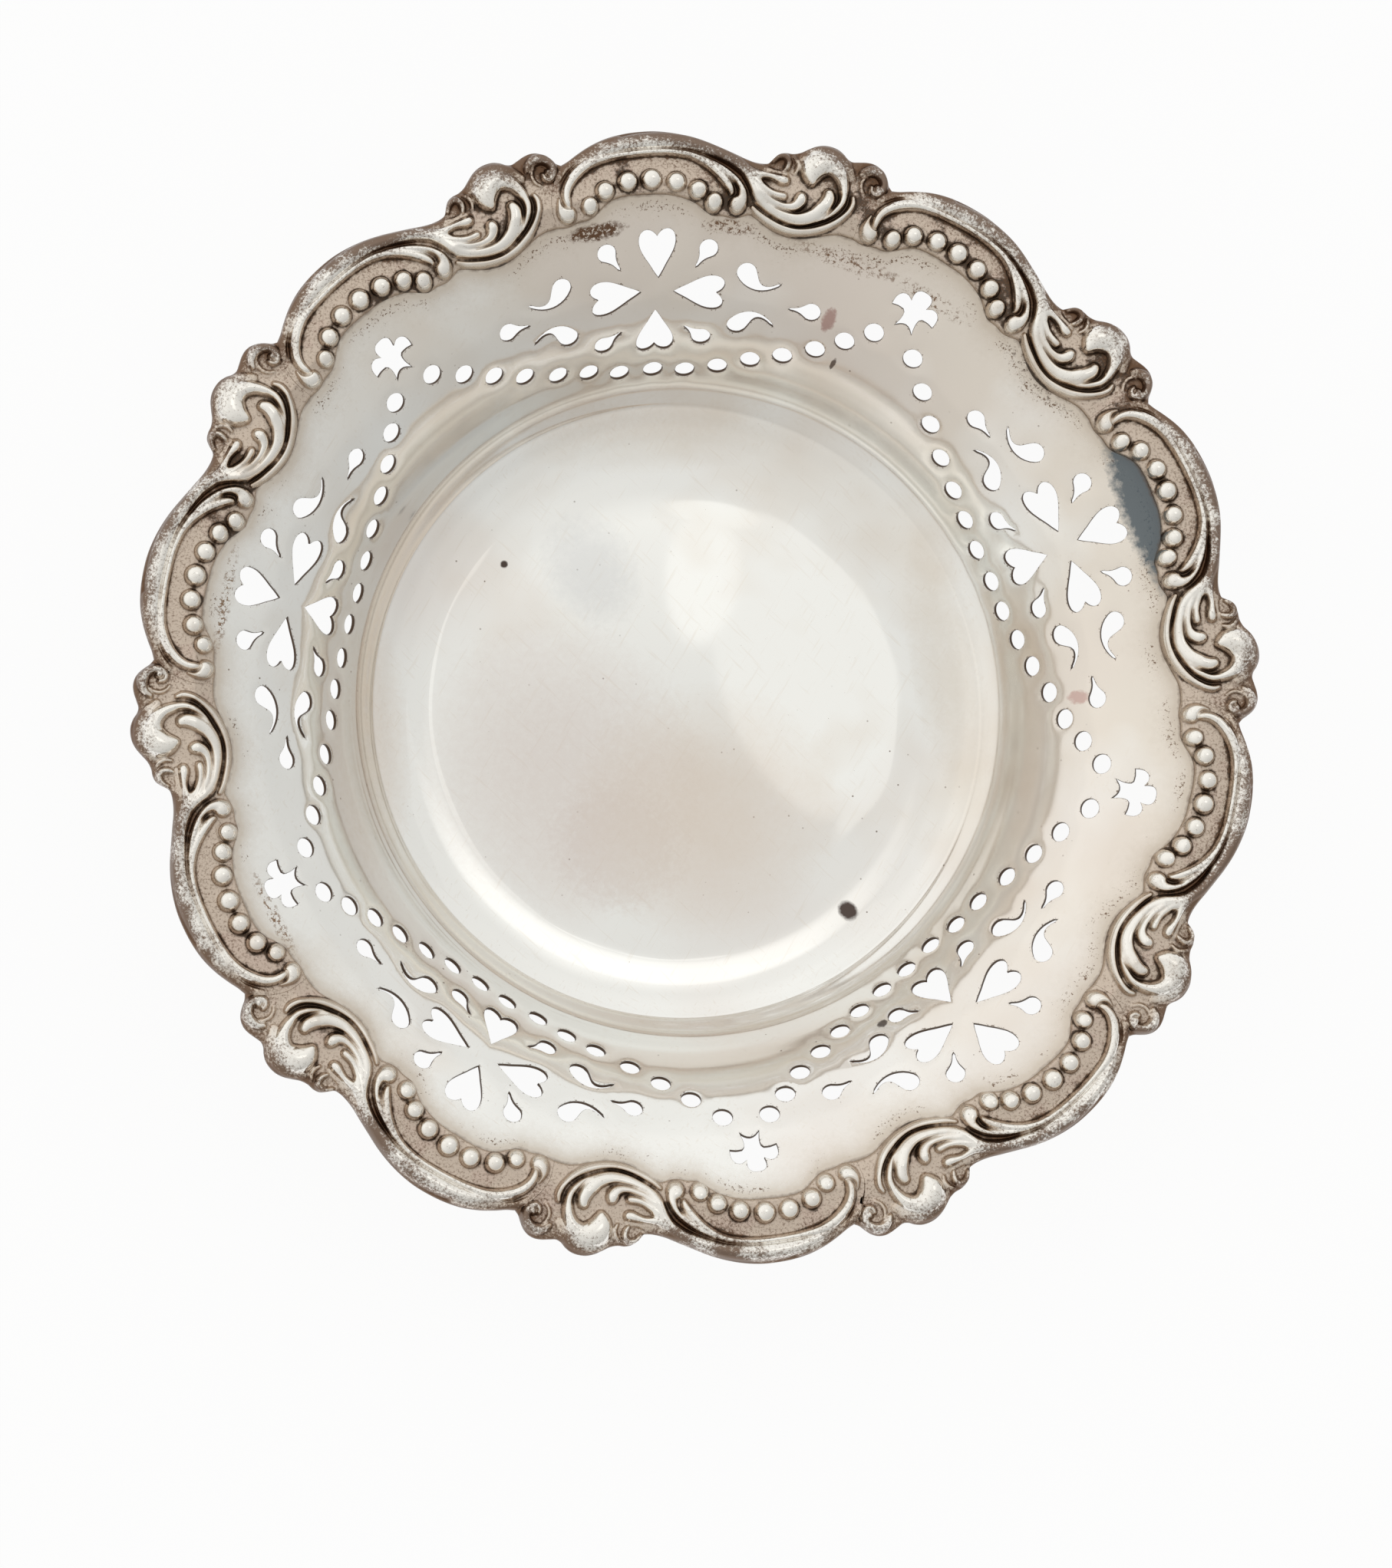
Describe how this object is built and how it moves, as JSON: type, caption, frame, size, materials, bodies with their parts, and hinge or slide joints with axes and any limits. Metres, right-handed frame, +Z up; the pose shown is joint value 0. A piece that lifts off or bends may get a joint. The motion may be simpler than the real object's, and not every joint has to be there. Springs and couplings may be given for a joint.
{
  "type": "bonbon dish",
  "caption": "Round pierced silver bonbon dish with a flat floor, a flaring wall and an applied border of scrolls, beads and leaf clusters on its rim.",
  "frame": {"origin": "centre of the flat underside that the dish rests on", "axes": "+Z up along the axis of the dish, +Y towards the edge that is at the top of the picture"},
  "size_m": [0.1482, 0.1486, 0.027],
  "materials": {
    "silver_sheet": "polished silver sheet, worn soft with fine scratches",
    "silver_border": "die-struck silver, polished on the high parts and tarnished brown in the recesses"
  },
  "bodies": {
    "root": {"bowl": "silver_sheet", "border_section_01": "silver_border", "border_section_02": "silver_border", "border_section_03": "silver_border", "border_section_04": "silver_border", "border_section_05": "silver_border", "border_section_06": "silver_border", "border_section_07": "silver_border", "border_section_08": "silver_border", "border_section_09": "silver_border", "border_section_10": "silver_border"}
  },
  "joints": []
}
